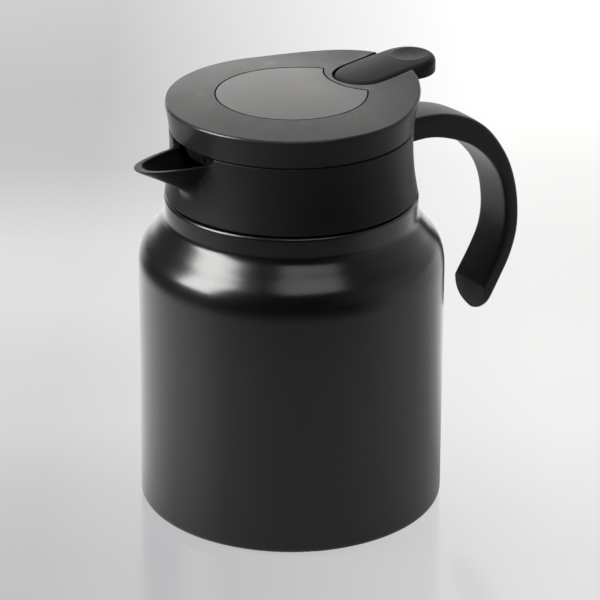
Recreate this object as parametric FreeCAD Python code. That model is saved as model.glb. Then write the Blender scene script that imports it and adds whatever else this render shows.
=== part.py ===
import FreeCAD, Part
import math, os

# Insulated jug with a spouted collar, a strap handle and a lever-operated lid.
# Millimetres. +Z is up, the origin is the centre of the base on the table,
# the handle and thumb lever point toward +X and the spout toward -X.

os.makedirs("parts", exist_ok=True)
Vector = FreeCAD.Vector
ORIGIN = Vector(0, 0, 0)
UP = Vector(0, 0, 1)
ALONG_X = Vector(1, 0, 0)
ALONG_Y = Vector(0, 1, 0)

# ---------------------------------------------------------------- dimensions
BODY_R = 60.6            # outside radius of the outer shell
SHELL_T = 0.8            # outer shell wall
NECK_R = 50.0            # outside radius of the shell's short neck
NECK_TOP = 129.8         # top land of the shell's neck
LINER_R = 54.4           # outside radius of the inner flask
LINER_T = 0.6            # inner flask wall
MOUTH_R = 41.9           # bore of the inner flask's mouth
MOUTH_OUT_R = MOUTH_R + LINER_T
MOUTH_TOP = 139.6        # top of the inner flask's mouth
COLLAR_BOT = 130.5
COLLAR_TOP = 157.0
COLLAR_BORE = 45.0
LID_SEAM = 157.45        # lower edge of the lid's skirt
CORE_R = 40.6            # outside radius of the lid's plug
CORE_BORE = 38.4
SEAL_GAP = 0.04          # lid gasket clearance to the mouth
PIN_X = 36.0             # lever pivot
PIN_Z = 163.0
PIN_R = 1.5
PIVOT_GAP = 0.05         # radial running clearance at the pivot
STEM_R = 2.2             # valve stem
STEM_GAP = 0.05          # radial running clearance of the stem
SHANK_R = 1.2            # shank of the handle and lid screws
RECESS_HALF_W = 0.3      # half width of the cross recess in a screw head
RECESS_HALF_L = 1.5      # half length of the cross recess


# ---------------------------------------------------------------- helpers
def spline_edge(points, periodic=False):
    curve = Part.BSplineCurve()
    curve.interpolate(points, PeriodicFlag=periodic)
    return curve.toShape()


def lines(points):
    """Straight edges joining the points in turn."""
    return [Part.makeLine(a, b) for a, b in zip(points[:-1], points[1:])]


def profile_face(path):
    """Face in the XZ plane, closed by a line if needed.

    Each step after the first point is (x, z) for a line,
    ("arc", middle, end) or ("spline", points).
    """
    here, edges = path[0], []
    for step in path[1:]:
        start = Vector(here[0], 0, here[1])
        if step[0] == "arc":
            middle, here = step[1:]
            edges.append(Part.Arc(start, Vector(middle[0], 0, middle[1]),
                                  Vector(here[0], 0, here[1])).toShape())
        elif step[0] == "spline":
            edges.append(spline_edge([start] + [Vector(x, 0, z) for x, z in step[1]]))
            here = step[1][-1]
        else:
            here = step
            edges.append(Part.makeLine(start, Vector(here[0], 0, here[1])))
    if math.dist(here, path[0]) > 1e-6:
        edges += lines([Vector(x, 0, z) for x, z in (here, path[0])])
    return Part.Face(Part.Wire(edges))


def as_solid(shape):
    if shape.ShapeType == "Solid":
        return shape
    if shape.Solids:
        return shape.Solids[0] if len(shape.Solids) == 1 else Part.makeCompound(shape.Solids)
    return Part.makeSolid(shape)


def revolve(path):
    return as_solid(profile_face(path).revolve(ORIGIN, UP, 360))


def ring(r0, r1, z0, z1):
    return revolve([(r0, z0), (r1, z0), (r1, z1), (r0, z1)])


def sector(r0, r1, z0, z1, angle0, angle1):
    """Part of a ring between two angles from +X, in degrees."""
    section = profile_face([(r0, z0), (r1, z0), (r1, z1), (r0, z1)])
    section.rotate(ORIGIN, UP, angle0)
    return as_solid(section.revolve(ORIGIN, UP, angle1 - angle0))


def side_block(path, half):
    """XZ outline extruded to y = +-half."""
    face = profile_face(path)
    face.translate(Vector(0, -half, 0))
    return face.extrude(Vector(0, 2 * half, 0))


def cylinder(radius, height, base, axis=UP):
    return Part.makeCylinder(radius, height, base, axis)


def box(x0, x1, y0, y1, z0, z1):
    return Part.makeBox(x1 - x0, y1 - y0, z1 - z0, Vector(x0, y0, z0))


def inset(points, wall):
    """Inside of a wall whose outside is the rising (r, z) path; the ends move level."""
    inside = []
    for before, (r, z), after in zip(points[:-2], points[1:-1], points[2:]):
        rise_r, rise_z = after[0] - before[0], after[1] - before[1]
        length = math.hypot(rise_r, rise_z)
        inside.append((r - wall * rise_z / length, z + wall * rise_r / length))
    (first_r, first_z), (last_r, last_z) = points[0], points[-1]
    return [(first_r - wall, first_z)] + inside + [(last_r - wall, last_z)]


def below(height, x0, x1, y0, y1, x_count, y_count, depth):
    """Solid block whose top is the surface z = height(x, y)."""
    rows = []
    for i in range(x_count):
        x = x0 + (x1 - x0) * i / (x_count - 1)
        ys = [y0 + (y1 - y0) * j / (y_count - 1) for j in range(y_count)]
        rows.append([Vector(x, y, height(x, y)) for y in ys])
    surface = Part.BSplineSurface()
    surface.interpolate(rows)
    return as_solid(surface.toShape().extrude(Vector(0, 0, -depth)))


def prism(wire, z0, z1):
    base = wire.copy()
    base.translate(Vector(0, 0, z0))
    return Part.Face(base).extrude(Vector(0, 0, z1 - z0))


def arc_xy(start, middle, end):
    return Part.Arc(Vector(*start, 0), Vector(*middle, 0), Vector(*end, 0)).toShape()


def lines_xy(*points):
    return lines([Vector(x, y, 0) for x, y in points])


def fillet_if_possible(shape, radius, edges):
    # The kernel may refuse the blend; the edges then stay sharp.
    try:
        return shape.makeFillet(radius, edges)
    except Exception:
        return shape


def first_good_fillet(shape, radii, edges, is_good):
    for radius in radii:
        # The kernel may refuse a radius; the next smaller one is then tried.
        try:
            rounded = shape.makeFillet(radius, edges)
            if is_good(rounded):
                return rounded
        except Exception:
            pass
    return shape


def save(name, shape):
    solids = shape.Solids
    shape = solids[0] if len(solids) == 1 else Part.makeCompound(solids)
    shape.exportStep("parts/%s.step" % name)


# ---------------------------------------------------------------- vessel
# Shoulder of the outer shell, outside face: (r, z) going up.
SHOULDER = [(BODY_R, 98.6), (60.45, 102.6), (59.85, 106.2), (58.75, 109.2),
            (57.1, 111.6), (55.0, 114.0), (53.0, 116.6), (51.4, 118.7),
            (50.45, 120.2), (NECK_R, 122.2)]
# Shoulder of the inner flask, outside face: (r, z) going up.
LINER_SHOULDER = [(LINER_R, 93.0), (54.15, 97.5), (53.0, 102.0), (50.6, 106.8),
                  (47.4, 111.0), (44.8, 114.6), (43.1, 118.2), (MOUTH_OUT_R, 122.0)]
CUP_FLOOR_Z = 6.0        # underside of the base cup's raised centre
CUP_T = 0.8


def make_outer_shell():
    """Straight wall, soft shoulder and short neck with a lip turned inward."""
    inside = inset(SHOULDER, SHELL_T)
    return revolve([
        (57.0, 1.2), (58.4, 1.2),
        ("arc", (60.0, 2.05), (BODY_R, 3.8)),
        SHOULDER[0],
        ("spline", SHOULDER[1:]),
        (NECK_R, NECK_TOP - 1.2),
        ("arc", (NECK_R - 0.35, NECK_TOP - 0.35), (NECK_R - 1.2, NECK_TOP)),
        (MOUTH_OUT_R, NECK_TOP),
        (MOUTH_OUT_R, NECK_TOP - SHELL_T),
        (NECK_R - 1.4, NECK_TOP - SHELL_T),
        ("arc", (NECK_R - 0.98, NECK_TOP - 0.98), (NECK_R - SHELL_T, NECK_TOP - 1.4)),
        inside[-1],
        ("spline", inside[::-1][1:]),
        (BODY_R - SHELL_T, 3.9),
        ("arc", (59.42, 2.62), (58.3, 2.0)),
        (57.0, 2.0)])


def make_inner_liner():
    """Inner flask, stepped out just below the rim of its mouth."""
    inside = inset(LINER_SHOULDER, LINER_T)
    return revolve([
        (0, 10.6),
        ("spline", [(24.0, 10.2), (42.0, 9.4)]),
        ("arc", (50.9, 13.0), (LINER_R, 21.0)),
        LINER_SHOULDER[0],
        ("spline", LINER_SHOULDER[1:]),
        (MOUTH_OUT_R, 137.6), (43.1, 137.7), (43.1, 138.3), (MOUTH_OUT_R, 138.5),
        (MOUTH_OUT_R, MOUTH_TOP),
        (MOUTH_R, MOUTH_TOP),
        inside[-1],
        ("spline", inside[::-1][1:]),
        (LINER_R - LINER_T, 21.0),
        ("arc", (50.45, 13.4), (42.0, 10.0)),
        ("spline", [(24.0, 10.8), (0, 11.2)])])


def make_base_cup():
    """Closing plate under the vacuum space, with a raised centre for the seal."""
    return revolve([
        (0, CUP_FLOOR_Z), (21.5, CUP_FLOOR_Z), (24.0, 3.4), (58.4, 3.4), (59.8, 4.8),
        (59.8, 8.6), (59.0, 8.6), (59.0, 5.1), (58.1, 4.2), (24.4, 4.2),
        (21.9, CUP_FLOOR_Z + CUP_T), (0, CUP_FLOOR_Z + CUP_T)])


def make_vacuum_seal_cap():
    return revolve([(0, 4.9), ("spline", [(3.4, 5.1), (5.2, 5.6)]),
                    (5.4, CUP_FLOOR_Z), (0, CUP_FLOOR_Z)])


def make_getter_pellet():
    return cylinder(4.0, 1.6, Vector(12.0, 0, CUP_FLOOR_Z + CUP_T))


def make_radiation_foil():
    return ring(LINER_R + 0.05, LINER_R + 0.25, 24.0, 92.0)


def make_base_pad():
    """Foot, with three air reliefs moulded across its underside."""
    pad = revolve([
        (0, 0), (56.4, 0), ("arc", (57.25, 0.35), (57.6, 1.15)), (56.95, 1.15),
        (56.95, 3.4), (26.0, 3.4), (24.8, 1.6), (0, 1.6)])
    for k in range(3):
        relief = box(34.0, 60.0, -1.2, 1.2, -1, 0.5)
        relief.rotate(ORIGIN, UP, 30 + 120 * k)
        pad = pad.cut(relief)
    return pad


def make_neck_gasket():
    """Rubber ring between the neck land and the collar."""
    return revolve([(42.6, 129.85), (45.2, 129.85),
                    ("arc", (45.45, 130.65), (45.2, 131.45)), (42.6, 131.45)])


# ---------------------------------------------------------------- collar and spout
# Outside of the collar: (r, z) going up.
WAIST = [(49.5, COLLAR_BOT + 0.35), (48.85, 134.5), (48.2, 139.0), (47.75, 144.0),
         (47.5, 149.0), (47.5, 153.0), (47.68, COLLAR_TOP - 0.2)]
SPOUT_TIP = -71.1
SPOUT_RIM = 153.7
# Half of the spout in plan: (share of length from root to tip, share of half width).
SPOUT_PLAN = [(0.0, 1.0), (0.12, 0.965), (0.26, 0.91), (0.42, 0.835), (0.58, 0.74),
              (0.73, 0.62), (0.85, 0.49), (0.94, 0.325), (0.985, 0.16), (1.0, 0.0)]
# Spout levels: (z, tip x, half width at the root).
SPOUT_OUTER = [(138.9, -48.3, 2.6), (140.6, -49.8, 4.2), (143.0, -53.4, 5.9),
               (146.4, -59.0, 8.2), (150.0, -65.5, 10.6), (151.6, -68.4, 11.7),
               (152.7, -70.2, 12.4), (SPOUT_RIM, SPOUT_TIP, 12.8)]
SPOUT_INNER = [(141.5, -46.0, 1.5), (143.0, -48.6, 3.0), (146.0, -54.4, 5.6),
               (150.0, -61.8, 9.0), (152.2, -65.6, 10.7), (SPOUT_RIM + 0.5, -67.9, 11.7)]
# One side of the opening above the spout: (y, z) going up.
GATE_SIDE = [(-11.8, SPOUT_RIM), (-13.2, 154.5), (-14.1, 155.7), (-14.5, 157.1)]
GATE_TOP = 159
# Handle screws, one each side of y = 0.
HANDLE_SCREW_Y = 6.3
HANDLE_SCREW_Z = 147.4


def spout_loft(root_x, levels):
    wires = []
    for z, tip_x, half in levels:
        points = [Vector(root_x + (tip_x - root_x) * u, -half * f, z) for u, f in SPOUT_PLAN]
        points += [Vector(p.x, -p.y, z) for p in points[-2::-1]]
        wires.append(Part.Wire([spline_edge(points), Part.makeLine(points[-1], points[0])]))
    return Part.makeLoft(wires, True)


def spout_root_edges(collar):
    """Edges where the spout leaves the collar wall."""
    found = []
    for edge in collar.Edges:
        b = edge.BoundBox
        if (b.XMax < -44 and b.ZMin > 137.5 and b.ZMax <= SPOUT_RIM + 0.3
                and b.ZLength > 3 and b.YLength > 3):
            middle = edge.valueAt((edge.FirstParameter + edge.LastParameter) / 2)
            if abs(math.hypot(middle.x, middle.y) - 47.6) < 0.7:
                found.append(edge)
    return found


def spout_gate():
    """Cutter that opens the wall above the spout up to the lid."""
    side_y, side_z = GATE_SIDE[-1]
    foot_y = GATE_SIDE[0][0]
    face = Part.Face(Part.Wire([
        spline_edge([Vector(0, y, z) for y, z in GATE_SIDE]),
        *lines([Vector(0, side_y, side_z), Vector(0, side_y, GATE_TOP),
                Vector(0, -side_y, GATE_TOP), Vector(0, -side_y, side_z)]),
        spline_edge([Vector(0, -y, z) for y, z in GATE_SIDE[::-1]]),
        *lines([Vector(0, -foot_y, SPOUT_RIM), Vector(0, foot_y, SPOUT_RIM)])]))
    face.translate(Vector(-60, 0, 0))
    return face.extrude(Vector(19, 0, 0))


def handle_screw_cylinder(radius, length, x, side):
    base = Vector(x, side * HANDLE_SCREW_Y, HANDLE_SCREW_Z)
    return cylinder(radius, length, base, ALONG_X)


def make_collar():
    collar = revolve([
        (49.2, COLLAR_BOT), WAIST[0], ("spline", WAIST[1:]),
        (47.5, COLLAR_TOP), (COLLAR_BORE + 0.2, COLLAR_TOP),
        (COLLAR_BORE, COLLAR_TOP - 0.2),
        (COLLAR_BORE, 141.6), ("arc", (44.85, 141.2), (44.45, 141.0)),
        (44.4, 136.0), (42.6, 136.0), (42.6, 131.5), (45.5, 131.5),
        (45.5, 137.4), (46.0, 137.8), (46.3, 137.4), (47.0, COLLAR_BOT)])
    spout = spout_loft(-43.0, SPOUT_OUTER)
    channel = spout_loft(-40.0, SPOUT_INNER)
    collar = collar.fuse(spout.cut(cylinder(45.8, 40, Vector(0, 0, 130))))
    sharp_volume = collar.Volume
    collar = first_good_fillet(
        collar, (2.4, 1.8, 1.2, 0.8, 0.5), spout_root_edges(collar),
        lambda s: s.isValid() and len(s.Solids) == 1 and s.Volume > sharp_volume)
    collar = collar.cut(channel)
    collar = collar.cut(spout_gate())
    # Stop recess for the lid's lug, open at the top so the lid lifts at any angle.
    collar = collar.cut(sector(44.0, 46.25, 153.4, 158.0, -65.0, 65.0))
    # Screw holes behind the handle, counterbored from inside.
    for side in (-1, 1):
        collar = collar.cut(handle_screw_cylinder(1.3, 12, 42, side))
        collar = collar.cut(handle_screw_cylinder(2.35, 5.2, 41, side))
    return as_solid(collar)


def make_snap_ring():
    return ring(42.55, 44.2, 136.05, 137.5).cut(box(40, 46, -1.6, 1.6, 130, 140))


# ---------------------------------------------------------------- handle
HANDLE_HALF = 10.0       # half width of the handle strap
# Strap stations from root to lower end: (x, z) on the face toward the vessel,
# then (x, z) on the outer face.
STRAP = [((44.0, 142.0), (44.0, 152.8)), ((52.0, 142.3), (52.5, 153.1)),
         ((58.0, 142.4), (59.6, 152.9)), ((63.4, 141.7), (66.2, 152.0)),
         ((69.4, 140.0), (72.9, 150.1)), ((75.2, 137.7), (79.6, 147.3)),
         ((80.6, 134.9), (85.9, 143.6)), ((86.0, 130.8), (91.9, 138.4)),
         ((90.6, 126.1), (96.9, 132.0)), ((94.2, 121.3), (100.7, 125.3)),
         ((96.9, 116.0), (103.2, 118.5)), ((98.7, 110.0), (104.8, 111.5)),
         ((99.6, 104.0), (105.6, 104.6)), ((99.8, 99.0), (105.8, 98.5)),
         ((99.3, 94.0), (105.4, 92.5)), ((98.0, 89.0), (104.1, 86.6)),
         ((96.0, 84.2), (102.1, 80.9)), ((93.3, 79.0), (99.3, 75.4)),
         ((90.2, 73.6), (96.0, 69.8)), ((88.3, 70.2), (94.0, 66.5))]
TIP = (89.6, 58.7)           # (x, z) of the rounded lower tip
TIP_DIR = (0.479, 0.878)     # back up the outer face from the tip
TIP_LEN = 7.8                # length of the rounded end
# Distances left to the tip along the outer face, one per section.
TIP_STEPS = (6.9, 5.6, 4.3, 3.1, 2.0, 1.1, 0.45, 0.12)
# (x, z) outline cut away at the lower end, facing the vessel.
END_CUT = [(88.6, 71.6), (89.65, 58.7), (90.3, 50.0), (70, 50.0), (70, 71.6), (80, 75.9)]
ROOT_GAP = 0.02              # fit of the handle's root on the collar
CORE_STATIONS = 17           # stations the steel strap runs through
CORE_LOW, CORE_HIGH = 0.40, 0.64     # its faces, as shares of the handle thickness


def tip_sections():
    """Stations of the round end: inner point, outer point, half width."""
    sections = []
    for left in TIP_STEPS:
        x, z = TIP[0] + TIP_DIR[0] * left, TIP[1] + TIP_DIR[1] * left
        half = HANDLE_HALF * math.sqrt(1 - ((TIP_LEN - left) / TIP_LEN) ** 2)
        sections.append(((x - 6.0, z + 3.27), (x, z), half))
    return sections


def corner(y, t, radius, start, end, count):
    """Points on an arc about (y, t), angles in degrees."""
    angles = [math.radians(start + (end - start) * i / count) for i in range(count + 1)]
    return [(y + radius * math.cos(a), t + radius * math.sin(a)) for a in angles]


def strap_section(inner, outer, half):
    """Closed section: flat inner face, crowned outer face, rounded corners."""
    (x_in, z_in), (x_out, z_out) = inner, outer
    thick = math.hypot(x_out - x_in, z_out - z_in)
    dir_x, dir_z = (x_out - x_in) / thick, (z_out - z_in) / thick
    soft = min(max((z_out - 66.0) / 22.0, 0.0), 1.0)    # corners tighten to the lower end
    r_out = min(2.0 + 2.2 * soft, 0.48 * thick, 0.6 * half)
    r_in = min(0.7 + 1.7 * soft, 0.36 * thick, 0.3 * half)
    crown = min(0.5 + 0.3 * soft, 0.1 * thick) * min(1.0, half / HANDLE_HALF)
    # (y, distance from the inner face) on the +Y side.
    side = [(0.0, 0.0), (0.5 * (half - r_in), 0.0)]
    side += corner(half - r_in, r_in, r_in, -90, 0, 3)
    side.append((half, 0.5 * (r_in + thick - crown - r_out)))
    side += corner(half - r_out, thick - crown - r_out, r_out, 0, 80, 4)
    side += [(0.45 * (half - r_out), thick - 0.12), (0.0, thick)]
    points = side + [(-y, t) for y, t in side[-2:0:-1]]
    return Part.Wire(spline_edge(
        [Vector(x_in + dir_x * t, y, z_in + dir_z * t) for y, t in points], periodic=True))


def inside_collar():
    """Cutter that seats the handle's root flush on the collar's waist."""
    fit = [(r + ROOT_GAP, z) for r, z in WAIST]
    return revolve([(0, 120), (fit[0][0], 120), fit[0], ("spline", fit[1:]),
                    (fit[-1][0], 165), (0, 165)])


def core_strip(half):
    """Strip that follows the inside of the handle."""
    low, high = [[(a[0] * (1 - share) + b[0] * share, a[1] * (1 - share) + b[1] * share)
                  for a, b in STRAP[:CORE_STATIONS]] for share in (CORE_LOW, CORE_HIGH)]
    return side_block([low[0], ("spline", low[1:]), high[-1], ("spline", high[-2::-1])], half)


def make_handle_grip():
    stations = [(a, b, HANDLE_HALF) for a, b in STRAP] + tip_sections()
    grip = as_solid(Part.makeLoft([strap_section(*s) for s in stations], True))
    grip = grip.cut(side_block(END_CUT, 20))
    grip = grip.cut(inside_collar())
    grip = grip.cut(core_strip(3.6))
    for side in (-1, 1):
        grip = grip.cut(handle_screw_cylinder(SHANK_R, 14, 46, side))
    return as_solid(grip)


def make_handle_core():
    """Steel strap laid inside the moulding, entered from the root."""
    core = core_strip(3.55).cut(inside_collar())
    return as_solid(core.cut(box(40, 48.4, -10, 10, 130, 160)))


def make_handle_screws():
    screws = []
    for side in (-1, 1):
        y, z = side * HANDLE_SCREW_Y, HANDLE_SCREW_Z
        screw = handle_screw_cylinder(2.2, 1.15, 45.03, side)
        screw = screw.fuse(handle_screw_cylinder(SHANK_R, 13.4, 46.1, side))
        for half_y, half_z in ((RECESS_HALF_W, RECESS_HALF_L), (RECESS_HALF_L, RECESS_HALF_W)):
            screw = screw.cut(box(44.9, 45.6, y - half_y, y + half_y, z - half_z, z + half_z))
        screws.append(as_solid(screw))
    return Part.makeCompound(screws)


# ---------------------------------------------------------------- lid cover
DOME_Z = 171.3           # lid surface height on the axis
DOME_K = 0.001076        # fall of the dome with radius squared
SWEEP_K = 0.00424        # rise of the lid surface toward the lever
SWEEP_X = 12.0           # where that rise starts
ROOF_T = 2.4             # thickness under the lid surface
PLATE_R = 29.5           # inlaid top plate
PLATE_BED = 168.6        # ledge the plate rests on
BITE_X = 42.5            # centre of the plate's bite
BITE_R = 22.8
SLOT_HALF = 12.5         # half width of the lever slot
SLOT_X = 34.1            # centre of the slot's round end
SLOT_END = 60            # open end of the slot cutter, beyond the lid
CHEEK_T = 1.4            # wall beside the slot
# Flared side of the cover: (r, z) going up.
FLARE = [(47.62, LID_SEAM + 0.15), (48.0, 160.8), (48.6, 164.4), (49.5, 168.7),
         (50.75, 173.5), (51.3, 175.4)]
FLARE_INSIDE = [(45.6, 159.4), (46.0, 162.0), (46.9, 166.5), (48.2, 172.0), (48.9, 175.0)]
CHEEK_LIMIT = [(45.8, 159.4), (46.2, 162.0), (47.1, 166.5), (48.4, 172.0), (49.1, 175.0)]
# Lid screws, (x, y).
LID_SCREW_CIRCLE = 26.9
LID_SCREWS = [(LID_SCREW_CIRCLE * math.cos(math.radians(a)),
               LID_SCREW_CIRCLE * math.sin(math.radians(a))) for a in (90, 180, 270)]
LID_SCREW_SEAT = 167.0


def below_lid(drop):
    """Block under the lid surface lowered by drop."""
    def height(x, y):
        up = max(0.0, x - SWEEP_X)
        return DOME_Z - DOME_K * (x * x + y * y) + SWEEP_K * up * up - drop
    return below(height, -54, 54, -54, 54, 28, 28, 40)


def plate_block(grow, z0, z1, corner_r):
    """Disc with a concave bite on the lever side; grow offsets it outward."""
    r, bite = PLATE_R + grow, BITE_R - grow
    x = (BITE_X ** 2 + r ** 2 - bite ** 2) / (2 * BITE_X)
    y = math.sqrt(r * r - x * x)
    block = prism(Part.Wire([arc_xy((x, y), (-r, 0), (x, -y)),
                             arc_xy((x, -y), (BITE_X - bite, 0), (x, y))]), z0, z1)
    horns = [e for e in block.Edges if e.BoundBox.ZLength > (z1 - z0) * 0.9
             and e.BoundBox.XMax > 8 and e.BoundBox.XLength < 0.1]
    return block.makeFillet(corner_r, horns)


def slot_prism(half, z0, z1):
    return prism(Part.Wire([
        arc_xy((SLOT_X, half), (SLOT_X - half, 0), (SLOT_X, -half)),
        *lines_xy((SLOT_X, -half), (SLOT_END, -half), (SLOT_END, half), (SLOT_X, half))]), z0, z1)


def slot_cheeks():
    cheeks = slot_prism(SLOT_HALF + CHEEK_T, 164.2, 176)
    cheeks = cheeks.common(revolve([
        (0, 150), (45.8, 150), CHEEK_LIMIT[0], ("spline", CHEEK_LIMIT[1:]),
        (49.1, 176), (0, 176)]))
    cheeks = cheeks.common(below_lid(1.2))
    return cheeks.cut(box(0, SLOT_X - 4, -20, 20, 150, 166.2))


def make_lid_cover():
    cover = revolve([(0, LID_SEAM), (47.45, LID_SEAM), FLARE[0], ("spline", FLARE[1:]),
                     (51.3, 180), (0, 180)])
    cover = cover.common(below_lid(0))
    rim = [e for e in cover.Edges if e.BoundBox.ZMax > 166 and e.BoundBox.XLength > 20]
    cover = fillet_if_possible(cover, 0.9, rim)
    cavity = revolve([
        (0, LID_SEAM - 1), (43.2, LID_SEAM - 1), (43.2, 159.4), FLARE_INSIDE[0],
        ("spline", FLARE_INSIDE[1:]), (48.9, 180), (0, 180)])
    cover = cover.cut(cavity.common(below_lid(ROOF_T)))
    # Locating skirt and its stop lug.
    cover = cover.fuse(ring(43.2, COLLAR_BORE - 0.05, 152.4, 158.2))
    cover = cover.fuse(sector(43.6, 46.1, 154.0, 158.2, -4.0, 4.0))
    # Ledge under the plate, kept clear of the lever.
    ledge = ring(23.4, 31.8, 166.0, 168.9)
    cover = cover.fuse(ledge.common(cylinder(40, 30, Vector(-12.0, 0, 150))))
    # Plate pocket, then the opening inside its ledge.
    cover = cover.cut(plate_block(0.38, PLATE_BED, 180, 1.3))
    cover = cover.cut(plate_block(-6.4, 160, 170, 1.0))
    # Lever slot between its cheeks, then the hollow under it.
    cover = cover.fuse(slot_cheeks())
    cover = cover.cut(slot_prism(SLOT_HALF, 165.6, 185))
    hollow = slot_prism(SLOT_HALF, 150, 166)
    cover = cover.cut(hollow.common(cylinder(44.0, 40, Vector(0, 0, 150))))
    # Window in the locating skirt in front of the spout.
    cover = cover.cut(sector(42.0, 45.4, 150.0, LID_SEAM - 0.5, 180 - 17, 180 + 17))
    for x, y in LID_SCREWS:
        cover = cover.cut(cylinder(2.6, 3, Vector(x, y, LID_SCREW_SEAT)))
        cover = cover.cut(cylinder(1.5, 6, Vector(x, y, 164)))
    return as_solid(cover)


def make_lid_plate():
    """Inlaid plate, level with the dome."""
    plate = plate_block(0.0, PLATE_BED, 176, 1.0).common(below_lid(0.05))
    top_edges = [e for e in plate.Edges if e.BoundBox.ZMin > 169.6]
    return as_solid(fillet_if_possible(plate, 0.25, top_edges))


# ---------------------------------------------------------------- lid core
EAR_INNER = 6.6          # |y| of the pivot ears' inner faces
EAR_T = 2.4
EAR_R = 3.6


def make_lid_core():
    """Plug with its deck, stem bush, screw posts and pivot ears."""
    core = ring(CORE_BORE, CORE_R, 137.0, 153.0)
    core = core.fuse(ring(0, 43.1, 151.0, 153.2))
    core = core.fuse(ring(41.4, 43.1, 151.0, 157.0))
    core = core.fuse(cylinder(4.4, 6.0, Vector(0, 0, 148.5)))
    for x, y in LID_SCREWS:
        core = core.fuse(cylinder(3.2, 13.4, Vector(x, y, 152.6)))
    for y in (-EAR_INNER - EAR_T, EAR_INNER):
        ear = box(PIN_X - EAR_R, PIN_X + EAR_R, y, y + EAR_T, 152.6, PIN_Z)
        ear = ear.fuse(cylinder(EAR_R, EAR_T, Vector(PIN_X, y, PIN_Z), ALONG_Y))
        core = core.fuse(ear)
    core = core.cut(cylinder(STEM_R + STEM_GAP, 20, Vector(0, 0, 140)))
    core = core.cut(cylinder(PIN_R, 30, Vector(PIN_X, -15, PIN_Z), ALONG_Y))
    # Opening on the spout side and a small hole on the handle side.
    core = core.cut(box(-50, -30, -14.5, 14.5, 141.6, 150.4))
    core = core.cut(cylinder(1.6, 14, Vector(34, 0, 146.0), ALONG_X))
    for x, y in LID_SCREWS:
        core = core.cut(cylinder(SHANK_R, 9.5, Vector(x, y, 157.0)))
    return as_solid(core)


def make_lid_base():
    """Bottom of the plug, with the valve's raised seat round its hole."""
    return revolve([
        (11.5, 131.6), (40.0, 131.6), (CORE_R, 132.2), (CORE_R, 134.0), (38.35, 134.0),
        (38.35, 139.4), (36.6, 139.4), (36.6, 134.0), (13.6, 134.0), (13.2, 135.5),
        (12.2, 135.5), (11.5, 134.8)])


def make_lid_gasket():
    """Ring with two lips against the flask's mouth."""
    lip_r = MOUTH_R - SEAL_GAP
    return revolve([
        (CORE_BORE, 134.04), (41.0, 134.04), ("arc", (41.62, 134.2), (lip_r, 134.75)),
        ("arc", (41.35, 135.5), (lip_r, 136.25)), ("arc", (41.62, 136.8), (41.0, 136.96)),
        (CORE_BORE, 136.96)])


def make_lever_pin():
    return cylinder(PIN_R, 21.0, Vector(PIN_X, -10.5, PIN_Z), ALONG_Y)


def make_lid_screws():
    screws = []
    for x, y in LID_SCREWS:
        screw = cylinder(2.4, 1.35, Vector(x, y, LID_SCREW_SEAT))
        screw = screw.fuse(cylinder(SHANK_R, 9.8, Vector(x, y, 157.3)))
        for half_x, half_y in ((RECESS_HALF_W, RECESS_HALF_L), (RECESS_HALF_L, RECESS_HALF_W)):
            screw = screw.cut(box(x - half_x, x + half_x, y - half_y, y + half_y, 167.8, 169))
        screws.append(as_solid(screw))
    return Part.makeCompound(screws)


# ---------------------------------------------------------------- lever
LEVER_HALF = 12.0        # half width, and radius of the round tip
LEVER_TIP_X = 54.1       # centre of the round tip
LEVER_BACK = 11.8        # reach of the other end from the slot's centre
HOLLOW_IN = 6.3          # |y| range of the hollows for the pivot ears
HOLLOW_OUT = 9.35
ARM_HALF = 5.2           # half width of the arm to the valve stem
DISH_R = 36.0
DISH_DEPTH = 1.25
# Centreline of the lever's top: (x, z).
CREST = [(20.0, 170.6), (23.3, 171.5), (28.0, 172.55), (35.0, 173.6), (42.0, 174.6),
         (50.0, 175.65), (57.0, 176.2), (62.0, 176.15), (66.0, 175.6), (70.0, 174.8)]
# Side outline of the lever blank, open above the crest: (x, z).
LEVER_SIDE = [
    (22.0, 166.4), (27.5, 164.6), (30.5, 160.4), (36.0, 158.6), (41.0, 160.4),
    (41.9, 163.4), (41.9, 167.0), (47.0, 167.7),
    ("spline", [(50.0, 168.8), (54.0, 169.1), (60.0, 169.1), (66.5, 169.7)]),
    (70.0, 170.3), (70.0, 180.0), (22.0, 180.0)]
ARM_SIDE = [(36.0, 158.6), (30.0, 157.0), (-3.0, 157.0), (-3.0, 159.2), (22.0, 159.8),
            (28.0, 163.4), (36.0, 166.0)]


def crest_z(x):
    x = min(max(x, CREST[0][0]), CREST[-1][0])
    for (xa, za), (xb, zb) in zip(CREST[:-1], CREST[1:]):
        if x <= xb:
            return za + (zb - za) * (x - xa) / (xb - xa)


def lever_z(x, y):
    """Top of the lever: the crest averaged over 6 mm, falling off to the sides."""
    return sum(crest_z(x + d) for d in range(-3, 4)) / 7.0 - y * y / 110.0


def lever_blank():
    half = LEVER_HALF
    plan = Part.Wire([
        arc_xy((SLOT_X, half), (SLOT_X - LEVER_BACK, 0), (SLOT_X, -half)),
        *lines_xy((SLOT_X, -half), (LEVER_TIP_X, -half)),
        arc_xy((LEVER_TIP_X, -half), (LEVER_TIP_X + half, 0), (LEVER_TIP_X, half)),
        *lines_xy((LEVER_TIP_X, half), (SLOT_X, half))])
    blank = prism(plan, 150, 182).common(side_block(LEVER_SIDE, 20))
    return blank.common(below(lever_z, 19, 72, -16, 16, 30, 17, 40))


def lever_arm():
    """Arm to the valve stem, ending in a fork with round pads."""
    arm = side_block(ARM_SIDE, ARM_HALF)
    arm = arm.fuse(cylinder(1.6, 2 * ARM_HALF, Vector(0, -ARM_HALF, 158.46), ALONG_Y))
    return arm.cut(box(-8, 6.5, -2.55, 2.55, 150, 165))


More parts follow.
